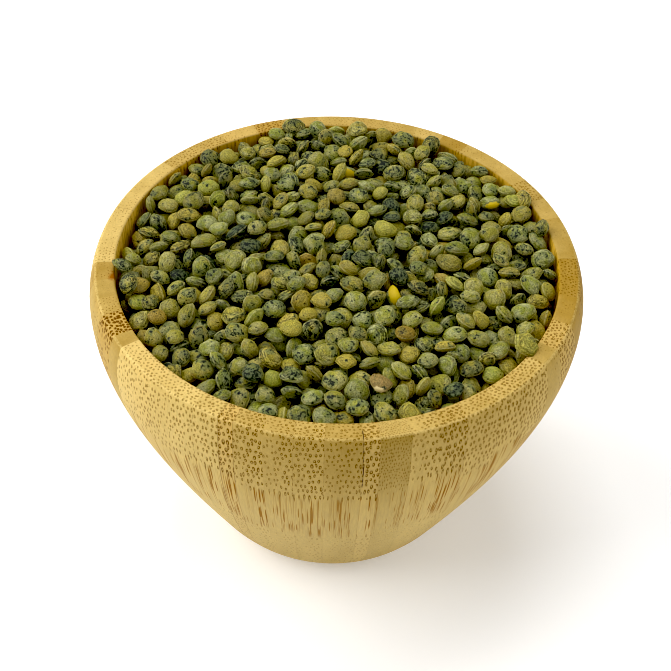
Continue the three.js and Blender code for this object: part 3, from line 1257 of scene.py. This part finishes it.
    def _draw_arcs(self, sheet: FinishSheet, coat: Socket, wrinkle: Socket, out: Socket,
                   lining: Socket, crumble: Socket) -> Socket:
        """Broken dark arcs that follow the rim.

        Args:
            sheet: The material's sheet.
            coat: The colour so far.
            wrinkle: Noise that is drawn out round the rim.
            out: Distance from the lentil's middle.
            lining: How many arcs it has.
            crumble: Noise that breaks the arcs.

        Returns:
            The colour with its arcs.
        """
        arcs = sheet.ramp(sheet.math("ABSOLUTE", sheet.math("SUBTRACT", wrinkle, 0.46)), 0.05, 0.02)
        arcs = sheet.product(arcs, sheet.ramp(out, 0.2, 0.5), sheet.ramp(crumble, 0.4, 0.48),
                             sheet.ramp(lining, 0.0, 0.5, 0.25, 0.95))
        return sheet.mix(arcs, coat, self.mottle)

    def _specks(self, sheet: FinishSheet, own: Socket, marbling: Socket) -> Socket:
        """Small black specks.

        Args:
            sheet: The material's sheet.
            own: Place on the lentil, shifted so that no two are alike.
            marbling: How much of it is dark.

        Returns:
            The specks' strength.
        """
        cells = sheet.cells(own, self.speck_scale, 1.0, flat=False)
        here, size, _ = sheet.channels(cells.outputs["Color"])
        some = sheet.math("LESS_THAN", here, sheet.math("MULTIPLY_ADD", marbling, 0.35 * self.speckling,
                                                        0.4 * self.speckling))
        radius = sheet.ramp(size, 0.0, 1.0, 0.16, 0.36)
        spot = sheet.ramp(cells.outputs["Distance"], radius, sheet.product(radius, 0.6))
        return sheet.product(spot, some, 0.95)


@dataclass(frozen=True)
class LentilSort:
    """How one kind of lentil differs from the others.

    Attributes:
        share: Share of the heap.
        marbling: Least and most marbling.
        warmth: Least and most warmth.
        tone: Least and most tone.
        size: Size beside the heap's average.
        finish: Its seed coat.
    """

    share: float
    marbling: tuple[float, float]
    warmth: tuple[float, float]
    tone: tuple[float, float]
    size: float
    finish: LentilFinish


SORTS = {
    LentilKind.MARBLED: LentilSort(0.55, (0.3, 0.95), (0.0, 0.75), (0.25, 0.95), 1.0,
                                   LentilFinish("marbled_seed_coat")),
    LentilKind.FLECKED: LentilSort(0.34, (0.0, 0.4), (0.0, 1.0), (0.35, 1.0), 1.0,
                                   LentilFinish("flecked_seed_coat")),
    LentilKind.DARK: LentilSort(0.045, (0.85, 1.0), (0.0, 0.3), (0.1, 0.6), 0.98,
                                LentilFinish("dark_seed_coat", coat=srgb(108, 116, 64),
                                             coat_pale=srgb(116, 124, 80), slate=srgb(90, 104, 78),
                                             mottling=1.8)),
    LentilKind.PLAIN: LentilSort(0.05, (0.0, 0.1), (0.3, 1.0), (0.5, 1.0), 1.0,
                                 LentilFinish("plain_seed_coat", coat=srgb(136, 146, 60),
                                              coat_pale=srgb(156, 162, 88), speckling=0.35, staining=0.2)),
    LentilKind.TAN: LentilSort(0.008, (0.0, 0.35), (0.2, 1.0), (0.4, 0.9), 0.97,
                               LentilFinish("tan_seed_coat", coat=srgb(146, 133, 58),
                                            coat_pale=srgb(158, 146, 80), coat_warm=srgb(150, 126, 54),
                                            slate=srgb(112, 108, 58), mottle=srgb(46, 38, 22),
                                            staining=0.2)),
    LentilKind.CHIPPED: LentilSort(0.0, (0.2, 0.6), (0.0, 0.0), (0.5, 0.7), 1.0,
                                   LentilFinish("chipped_seed_coat", coat_warm=srgb(150, 124, 74),
                                                bare=srgb(196, 172, 40))),
}


@dataclass(frozen=True)
class Accent:
    """A lentil of a chosen kind, the one that shows at a place in the heap.

    Attributes:
        x: Its place along X.
        y: Its place along Y.
        kind: Its kind.
        bareness: Share of a chipped lentil that has lost its coat.
        warmth: Warmth of a chipped lentil: 0 is green with a yellow chip, 1 brown with a cream one.
    """

    x: float
    y: float
    kind: LentilKind
    bareness: float = 0.5
    warmth: float = 0.0


ACCENTS = (
    Accent(2.6, 28.9, LentilKind.CHIPPED, 0.5),
    Accent(12.5, -14.3, LentilKind.CHIPPED, 0.5),
    Accent(26.9, -2.4, LentilKind.CHIPPED, 0.34),
    Accent(33.0, 18.1, LentilKind.CHIPPED, 0.15),
    Accent(6.9, -36.9, LentilKind.CHIPPED, 0.12, 1.0),
    Accent(-17.3, 36.0, LentilKind.TAN),
    Accent(22.6, 4.2, LentilKind.TAN),
    Accent(21.2, -5.2, LentilKind.TAN),
    Accent(-40.6, -9.9, LentilKind.TAN),
    Accent(13.0, -25.3, LentilKind.TAN),
    Accent(-5.3, -18.5, LentilKind.PLAIN),
    Accent(33.1, -30.2, LentilKind.PLAIN),
    Accent(-10.5, -34.8, LentilKind.PLAIN),
    Accent(26.0, -9.0, LentilKind.PLAIN),
    Accent(38.8, 14.8, LentilKind.PLAIN),
    Accent(-9.1, -24.4, LentilKind.PLAIN),
)


@dataclass(frozen=True)
class RimLentil:
    """A lentil placed one by one along the rim's inner edge, so that it stands above the rim.

    Attributes:
        x: Its centre along X.
        y: Its centre along Y.
        z: Its centre's height.
        lean: How far it leans, in degrees.
        way: Azimuth of the level line that it leans about, in degrees.
    """

    x: float
    y: float
    z: float
    lean: float
    way: float


RIM_LENTILS = (
    RimLentil(-45.5, -7.2, 77.0, 30.0, 120.0),
    RimLentil(-43.4, -12.6, 76.8, 35.0, 300.0),
    RimLentil(-11.8, 45.0, 76.9, 40.0, 15.0),
    RimLentil(-6.2, 45.2, 76.3, 50.0, 350.0),
    RimLentil(3.6, 45.4, 76.2, 60.0, 355.0),
    RimLentil(21.4, 40.2, 76.4, 50.0, 332.0),
    RimLentil(38.2, -26.6, 77.0, 30.0, 60.0),
    RimLentil(41.8, 20.4, 76.2, 60.0, 296.0),
    RimLentil(45.0, 10.0, 76.9, 60.0, 283.0),
)


@dataclass
class Seed:
    """One lentil in its place: centre, turn and half sizes, and what marks it out."""

    centre: np.ndarray
    turn: np.ndarray
    half: np.ndarray
    kind: LentilKind = LentilKind.MARBLED
    accent: Accent | None = None


@dataclass
class HeapShape:
    """The heap's outline: crowned in the middle, lower along the wall, with a hollow at the left."""

    rim_height: float = 76.0
    mouth_radius: float = 47.9
    crown_above_rim: float = 3.0
    front_edge: float = -1.0
    back_edge: float = 0.7
    back_rise: float = 0.6
    quarter_dip: float = 0.3
    pit_azimuth: float = math.radians(173.0)
    pit_width: float = math.radians(8.0)
    pit_depth: float = 4.0

    def top(self, x: np.ndarray, y: np.ndarray) -> np.ndarray:
        """Height of the lentils' tops.

        Args:
            x: Places along X.
            y: Places along Y.

        Returns:
            The heights at those places.
        """
        outward = np.minimum(1.0, np.hypot(x, y) / self.mouth_radius)
        azimuth = np.arctan2(y, x)
        back = np.maximum(0.0, np.sin(azimuth))
        edge = self.front_edge + (self.back_edge - self.front_edge) * np.minimum(1.0, 2.5 * back)
        edge = edge + self.back_rise * back**10 - self.quarter_dip * back * np.sin(2 * azimuth) ** 2
        off = (azimuth - self.pit_azimuth + math.pi) % math.tau - math.pi
        pit = self.pit_depth * np.exp(-((off / self.pit_width) ** 2)) * outward**10
        return self.rim_height + edge + (self.crown_above_rim - edge) * (1 - outward**2) - pit


@dataclass
class HeapPacker:
    """Drops lentils one by one and lets each slide and tip until it rests lower."""

    shape: HeapShape
    cell: float = 0.2
    reach: float = 53.0
    wall_gap: float = 0.15
    bed_depth: float = 8.0
    radius: float = 2.5
    radius_spread: float = 0.18
    oval: float = 0.1
    plumpness: float = 0.56
    plumpness_spread: float = 0.045
    snugness: float = 0.95
    tries: int = 7
    settling: int = 34
    slide: float = 1.1
    tilt: float = math.radians(42.0)
    tip: float = 0.42
    calming: float = 0.75
    drop_margin: float = 1.3
    slide_margin: float = 1.2
    brim_slack: float = 0.9
    patience: int = 220
    most: int = 2200
    seed: int = 4021

    def __post_init__(self) -> None:
        """Lays out the height map: the core inside the mouth, the flat rim outside it."""
        steps = np.arange(-self.reach, self.reach + self.cell / 2, self.cell)
        self.axis = steps
        grid_x, grid_y = np.meshgrid(steps, steps, indexing="ij")
        self.envelope = self.shape.top(grid_x, grid_y)
        self.inside = np.hypot(grid_x, grid_y) < self.shape.mouth_radius - self.wall_gap
        self.surface = np.where(self.inside, self.envelope - self.bed_depth, self.shape.rim_height)
        self.owner = np.full(self.surface.shape, -1)
        self.random = np.random.default_rng(self.seed)
        self.seeds: list[Seed] = []

    def _random_turn(self) -> np.ndarray:
        """Draws a random turn about the vertical and a random tilt, most often small.

        Returns:
            The rotation matrix.
        """
        spin = Matrix.Rotation(self.random.uniform(0.0, math.tau), 3, "Z")
        way = self.random.uniform(0.0, math.tau)
        tilt = leaning(abs(self.random.normal()) * self.tilt, way)
        return np.array(tilt @ spin)

    def _nudge(self, amount: float) -> np.ndarray:
        """Draws a small random turn.

        Args:
            amount: Its usual size about each axis, in radians.

        Returns:
            The rotation matrix.
        """
        vector = self.random.normal(size=3) * amount
        angle = float(np.linalg.norm(vector)) + 1e-9
        x, y, z = vector / angle
        across = np.array([[0, -z, y], [z, 0, -x], [-y, x, 0]])
        return np.eye(3) + math.sin(angle) * across + (1 - math.cos(angle)) * (across @ across)

    def _faces(self, x: float, y: float, turn: np.ndarray,
               half: np.ndarray) -> tuple[tuple[slice, slice], np.ndarray, np.ndarray, np.ndarray]:
        """Lower and upper side of a lentil over the cells that it covers.

        Args:
            x: Its centre along X.
            y: Its centre along Y.
            turn: Its rotation.
            half: Its half sizes.

        Returns:
            The window of cells, the cells that it covers, and both sides' heights from its centre.
        """
        extent = float(half[0])
        low = np.searchsorted(self.axis, (x - extent, y - extent))
        high = np.searchsorted(self.axis, (x + extent, y + extent), side="right")
        window = (slice(low[0], high[0]), slice(low[1], high[1]))
        across_x = self.axis[window[0]][:, None] - x
        across_y = self.axis[window[1]][None, :] - y
        form = turn @ np.diag(1.0 / half**2) @ turn.T
        linear = form[0, 2] * across_x + form[1, 2] * across_y
        constant = (form[0, 0] * across_x**2 + 2 * form[0, 1] * across_x * across_y
                    + form[1, 1] * across_y**2 - 1.0)
        root = linear**2 - form[2, 2] * constant
        covered = root > 0
        root = np.sqrt(np.maximum(root, 0.0))
        return window, covered, (-linear - root) / form[2, 2], (-linear + root) / form[2, 2]

    def _rest_height(self, x: float, y: float, turn: np.ndarray, half: np.ndarray) -> float:
        """Height of the centre at which a lentil just touches what is under it.

        Args:
            x: Its centre along X.
            y: Its centre along Y.
            turn: Its rotation.
            half: Its half sizes.

        Returns:
            The height.
        """
        window, covered, lower, _ = self._faces(x, y, turn, half)
        gap = np.where(covered, self.surface[window] - lower, -1e9)
        return float(gap.max())

    def settle(self, x: float, y: float, turn: np.ndarray, half: np.ndarray, steps: int,
               limit: float) -> Seed:
        """Lets a lentil slide and tip to a lower place.

        Args:
            x: Where it is dropped, along X.
            y: Where it is dropped, along Y.
            turn: Its rotation as it lands.
            half: Its half sizes.
            steps: Number of tries.
            limit: How far from the axis it may slide.

        Returns:
            The lentil at rest.
        """
        best = self._rest_height(x, y, turn, half)
        for step in range(steps):
            share = 1.0 - self.calming * step / steps
            new_x = x + self.random.normal() * self.slide * share
            new_y = y + self.random.normal() * self.slide * share
            new_turn = self._nudge(self.tip * share) @ turn
            if math.hypot(new_x, new_y) > limit:
                continue
            height = self._rest_height(new_x, new_y, new_turn, half)
            if height < best:
                best, x, y, turn = height, new_x, new_y, new_turn
        return Seed(np.array([x, y, best]), turn, half)

    def lay(self, seed: Seed) -> None:
        """Adds a lentil at rest to the heap and to the height map.

        Args:
            seed: The lentil.
        """
        window, covered, _, upper = self._faces(seed.centre[0], seed.centre[1], seed.turn, seed.half)
        height = seed.centre[2] + upper
        raised = covered & (height > self.surface[window])
        self.surface[window] = np.where(raised, height, self.surface[window])
        self.owner[window] = np.where(raised, len(self.seeds), self.owner[window])
        self.seeds.append(seed)

    def half_sizes(self) -> np.ndarray:
        """Draws the half sizes of a new lentil.

        Returns:
            Both radii and the half thickness.
        """
        radius = self.radius * (1 + self.radius_spread * float(np.clip(self.random.normal() * 0.5, -1, 1)))
        plump = self.plumpness + self.plumpness_spread * self.random.normal()
        return np.array([radius, radius * (1 - self.oval * self.random.random()), radius * plump])

    def fill(self) -> list[Seed]:
        """Drops lentils until no more fit under the heap's outline.

        Returns:
            The lentils.
        """
        places = np.argwhere(self.inside)
        failures = 0
        while failures < self.patience and len(self.seeds) < self.most:
            drawn = places[self.random.integers(len(places), size=self.tries)]
            room = self.envelope[drawn[:, 0], drawn[:, 1]] - self.surface[drawn[:, 0], drawn[:, 1]]
            lowest = drawn[int(np.argmax(room))]
            x, y = self.axis[lowest[0]], self.axis[lowest[1]]
            outward = math.hypot(x, y)
            limit = self.shape.mouth_radius - self.drop_margin
            if outward > limit:
                x, y = x * limit / outward, y * limit / outward
            half = self.half_sizes()
            seed = self.settle(x, y, self._random_turn(), half * self.snugness, self.settling,
                               self.shape.mouth_radius - self.slide_margin)
            rise = math.sqrt(float((seed.turn[2] ** 2 * seed.half**2).sum()))
            ceiling = float(self.shape.top(seed.centre[0], seed.centre[1]))
            if seed.centre[2] + rise > ceiling + self.brim_slack * self.random.random():
                failures += 1
                continue
            failures = 0
            self.lay(seed)
        for lentil in RIM_LENTILS:
            turn = leaning(math.radians(lentil.lean), math.radians(lentil.way))
            self.lay(Seed(np.array([lentil.x, lentil.y, lentil.z]), np.array(turn),
                          self.half_sizes() * self.snugness))
        return self.seeds


@dataclass
class LentilForm:
    """One lentil: a plump lens with a blunt rim, one radius wide and one half thickness high."""

    sides: int = 12
    shoulders: tuple[float, ...] = (0.58, 0.88)
    fullness: float = 0.64

    def template(self) -> tuple[np.ndarray, list[tuple[int, ...]]]:
        """Spins the lens.

        Returns:
            Its points and its faces.
        """
        upper = [(0.0, 1.0)] + [(s, (1 - s * s) ** self.fullness) for s in self.shoulders] + [(1.0, 0.0)]
        bm = spun(upper + [(r, -z) for r, z in reversed(upper[:-1])], self.sides)
        bmesh.ops.remove_doubles(bm, verts=bm.verts, dist=TOUCH / 100)
        bmesh.ops.recalc_face_normals(bm, faces=bm.faces)
        bm.verts.index_update()
        points = np.array([v.co[:] for v in bm.verts])
        faces = [tuple(v.index for v in f.verts) for f in bm.faces]
        bm.free()
        return points, faces


@dataclass
class LentilHeap:
    """The heap: a plain core deep in the bowl, dark as painted shade under the top lentils, and the lentils
    over it, one piece for each kind.
    """

    bowl: TurnedBowl
    shape: HeapShape = field(default_factory=HeapShape)
    form: LentilForm = field(default_factory=LentilForm)
    core_clearance: float = 0.35
    core_depth: float = 7.6
    core_margin: float = 2.0
    core_steps: int = 24
    core_rings: int = 14
    core_facets: int = 72
    core_grain: float = 2.4
    # Darkest tone: part of the core's painted shade.
    core_shade_nature: Colour = (0.0, 0.6, 0.3, 0.5)
    upper_side: tuple[float, float, float] = (0.0, -0.4, 0.9)
    snugness: float = HeapPacker.snugness
    unevenness: float = 0.08
    most_uneven: float = 0.12
    lopsidedness: float = 0.2
    seed: int = 911

    def pack(self) -> list[Seed]:
        """Packs the lentils and sorts them into kinds.

        Returns:
            The lentils.
        """
        packer = HeapPacker(self.shape)
        seeds = packer.fill()
        random = np.random.default_rng(self.seed)
        kinds = list(SORTS)
        shares = np.array([SORTS[kind].share for kind in kinds])
        for seed, draw in zip(seeds, random.choice(len(kinds), size=len(seeds), p=shares / shares.sum())):
            seed.kind = kinds[draw]
        for accent in ACCENTS:
            spot = np.searchsorted(packer.axis, (accent.x, accent.y))
            owner = int(packer.owner[spot[0], spot[1]])
            if owner >= 0:
                seeds[owner].kind = accent.kind
                seeds[owner].accent = accent
        LOG.info("packed %d lentils", len(seeds))
        return seeds

    def build_core(self) -> bpy.types.Object:
        """Turns the core that fills the hollow and crowns its top a few lentils under the heap's outline.

        Returns:
            The core.
        """
        wall = self.bowl.cavity_wall(self.core_clearance).spaced(self.core_steps)
        wall.reverse()
        limit = self.shape.rim_height - self.core_depth - self.shape.pit_depth - self.core_margin
        side = [p for p in wall if p[1] < limit]
        outermost = self.bowl.mouth_radius - self.core_clearance
        rings = range(self.core_rings, -1, -1)
        lid = [(outermost * ring / self.core_rings, self.shape.rim_height) for ring in rings]
        bm = spun(side + lid, self.core_facets)
        bmesh.ops.remove_doubles(bm, verts=bm.verts, dist=TOUCH)
        for vert in bm.verts:
            if vert.co.z > self.shape.rim_height - TOUCH:
                vert.co.z = float(self.shape.top(vert.co.x, vert.co.y)) - self.core_depth
        bmesh.ops.recalc_face_normals(bm, faces=bm.faces)
        form = bm.verts.layers.float_vector.new("form")
        nature = bm.verts.layers.float_color.new("nature")
        for vert in bm.verts:
            vert[form] = vert.co / self.core_grain
            vert[nature] = self.core_shade_nature
        return written(bm, "lentil_core")

    def build_kind(self, kind: LentilKind, seeds: list[Seed], points: np.ndarray,
                   faces: list[tuple[int, ...]], random: np.random.Generator) -> bpy.types.Object:
        """Joins the lentils of one kind, each with its own dents and its own place in its colours.

        Args:
            kind: The kind.
            seeds: The lentils of that kind.
            points: A lentil's points.
            faces: A lentil's faces.
            random: Source of the small differences between them.

        Returns:
            The piece.
        """
        sort = SORTS[kind]
        azimuth = np.arctan2(points[:, 1], points[:, 0])
        all_points, all_faces, forms, natures = [], [], [], []
        for number, seed in enumerate(seeds):
            bumps = np.zeros(len(points))
            for lobes in (2, 3, 4, 5):
                phase = math.tau * random.random()
                bumps += self.unevenness / lobes * 2 * random.normal() * np.cos(lobes * azimuth + phase)
            one = points.copy()
            one[:, :2] *= (1 + np.clip(bumps, -self.most_uneven, self.most_uneven))[:, None]
            lopsided = 1 + self.lopsidedness * random.normal() * 0.5
            one[:, 2] *= np.where(one[:, 2] > 0, lopsided, 2 - lopsided)
            one *= seed.half * sort.size / self.snugness
            all_points.append(one @ seed.turn.T + seed.centre)
            shift = number * len(points)
            all_faces.extend(tuple(i + shift for i in face) for face in faces)
            nature = [random.uniform(*span) for span in (sort.tone, sort.marbling, sort.warmth)]
            nature.append(random.random())
            spin = math.tau * random.random()
            if seed.accent and kind is LentilKind.CHIPPED:
                nature[1:3] = (seed.accent.bareness, seed.accent.warmth)
                upward = self.upper_side @ seed.turn
                spin = math.atan2(upward[1], upward[0])
            forms.append(points @ np.array(Matrix.Rotation(spin, 3, "Z")))
            natures.append(np.tile(nature, (len(points), 1)))
        mesh = bpy.data.meshes.new(kind.value)
        mesh.from_pydata(np.concatenate(all_points) * MM, [], all_faces)
        form = mesh.attributes.new("form", "FLOAT_VECTOR", "POINT")
        form.data.foreach_set("vector", np.concatenate(forms).astype(np.float32).ravel())
        nature = mesh.attributes.new("nature", "FLOAT_COLOR", "POINT")
        nature.data.foreach_set("color", np.concatenate(natures).astype(np.float32).ravel())
        return smoothed(mesh, kind.value)

    def build(self) -> None:
        """Builds and dresses the core and every kind of lentil."""
        core = self.build_core()
        # The core's dark coat is painted shade of the lentils deep in the heap.
        publish(core, LentilFinish("painted_shade_core_coat", coat=srgb(60, 58, 26), coat_pale=srgb(70, 68, 34),
                                   coat_warm=srgb(64, 54, 20)).material(), "lentils")
        seeds = self.pack()
        points, faces = self.form.template()
        random = np.random.default_rng(self.seed + 1)
        for kind, sort in SORTS.items():
            chosen = [seed for seed in seeds if seed.kind is kind]
            piece = self.build_kind(kind, chosen, points, faces, random)
            publish(piece, sort.finish.material(), "lentils")


@dataclass(frozen=True)
class PaleFloorFinish:
    """A seamless white table."""

    name: str = "pale_table"
    white: Colour = srgb(250, 250, 250)
    glow: float = 0.18
    roughness: float = 0.9

    def material(self) -> bpy.types.Material:
        """Makes the material.

        Returns:
            The finished material.
        """
        sheet = FinishSheet(self.name)
        return sheet.dress(Base_Color=self.white, Roughness=self.roughness, Specular_IOR_Level=0.0,
                           Emission_Color=self.white, Emission_Strength=self.glow)


@dataclass(frozen=True)
class SoftLight:
    """A square soft light, aimed at the bowl.

    Attributes:
        azimuth: Where it stands round the bowl, in degrees from +X.
        elevation: Its height above the horizon as seen from the bowl, in degrees.
        distance: How far off it stands, in metres.
        size: Length of its side, in metres.
        power: Its power in watts.
        tint: Its colour.
    """

    name: str
    azimuth: float
    elevation: float
    distance: float
    size: float
    power: float
    tint: tuple[float, float, float] = (1.0, 1.0, 1.0)


@dataclass
class Studio:
    """The floor, the lights and the camera."""

    aim: Vector = field(default_factory=lambda: Vector((0.0, 0.0, 0.05)))
    floor_radius: float = 4.0
    sky: float = 0.27
    lights: tuple[SoftLight, ...] = (
        SoftLight("key_light", 178.0, 38.0, 1.2, 1.2, 17.4),
        SoftLight("fill_light", 350.0, 28.0, 1.2, 1.0, 5.6),
        SoftLight("top_light", 100.0, 74.0, 1.2, 0.6, 6.6),
    )
    black_point: float = 0.02
    pixel_filter: float = 1.0
    camera_distance: float = 0.2496
    camera_elevation: float = math.radians(41.16)
    camera_roll: float = math.radians(-2.0)
    focal_pixels: float = 1148.7
    frame_pixels: float = 671.0
    rim_centre: Vector = field(default_factory=lambda: Vector((0.0, 0.0, 0.076)))
    rim_centre_pixel: Point = (337.99, 253.97)

    def build_floor(self) -> None:
        """Lays the floor."""
        bm = bmesh.new()
        bmesh.ops.create_circle(bm, cap_ends=True, segments=96, radius=self.floor_radius / MM)
        floor = written(bm, "studio_floor")
        bpy.context.scene.collection.objects.link(floor)
        floor.data.materials.append(PaleFloorFinish().material())

    def build_lights(self) -> None:
        """Sets up the sky and the soft lights."""
        world = bpy.data.worlds.new("studio_sky")
        world.use_nodes = True
        background = world.node_tree.nodes["Background"]
        background.inputs["Color"].default_value = (1.0, 1.0, 1.0, 1.0)
        background.inputs["Strength"].default_value = self.sky
        bpy.context.scene.world = world
        for light in self.lights:
            lamp = bpy.data.lights.new(light.name, "AREA")
            lamp.shape = "SQUARE"
            lamp.size = light.size
            lamp.energy = light.power
            lamp.color = light.tint
            stand = bpy.data.objects.new(light.name, lamp)
            azimuth, elevation = math.radians(light.azimuth), math.radians(light.elevation)
            away = Vector((math.cos(azimuth) * math.cos(elevation), math.sin(azimuth) * math.cos(elevation),
                           math.sin(elevation)))
            stand.location = self.aim + away * light.distance
            stand.rotation_euler = (-away).to_track_quat("-Z", "Y").to_euler()
            bpy.context.scene.collection.objects.link(stand)

    def build_camera(self) -> None:
        """Sets up the camera: it stands off the rim's centre and is turned until that lies at its pixel."""
        sine, cosine = math.sin(self.camera_elevation), math.cos(self.camera_elevation)
        position = self.rim_centre + self.camera_distance * Vector((0.0, -cosine, sine))
        level = Matrix(((1, 0, 0), (0, sine, cosine), (0, -cosine, sine)))
        roll = Matrix.Rotation(self.camera_roll, 3, "Z")
        middle = self.frame_pixels / 2
        toward = Vector(((self.rim_centre_pixel[0] - middle) / self.focal_pixels,
                         -(self.rim_centre_pixel[1] - middle) / self.focal_pixels, -1.0)).normalized()
        swing = Vector((0, 0, -1)).rotation_difference(toward).to_matrix()
        lens = bpy.data.cameras.new("studio_camera")
        lens.sensor_width = 36.0
        lens.lens = self.focal_pixels * lens.sensor_width / self.frame_pixels
        lens.clip_start = 0.01
        lens.clip_end = 50.0
        camera = bpy.data.objects.new("studio_camera", lens)
        camera.matrix_world = Matrix.Translation(position) @ (swing @ roll @ level).transposed().to_4x4()
        bpy.context.scene.collection.objects.link(camera)
        bpy.context.scene.camera = camera

    def build(self) -> None:
        """Builds the studio."""
        self.build_floor()
        self.build_lights()
        self.build_camera()
        scene = bpy.context.scene
        scene.view_settings.view_transform = "Standard"
        scene.view_settings.look = "None"
        scene.view_settings.use_curve_mapping = True
        scene.view_settings.curve_mapping.black_level = (self.black_point,) * 3
        scene.cycles.filter_width = self.pixel_filter


def main() -> None:
    """Builds the bowl, its lentils and the studio."""
    logging.basicConfig(level=logging.INFO, format="%(name)s: %(message)s")
    bowl = TurnedBowl()
    bowl.dress(bowl.build())
    LentilHeap(bowl).build()
    Studio().build()


if __name__ == "__main__":
    main()
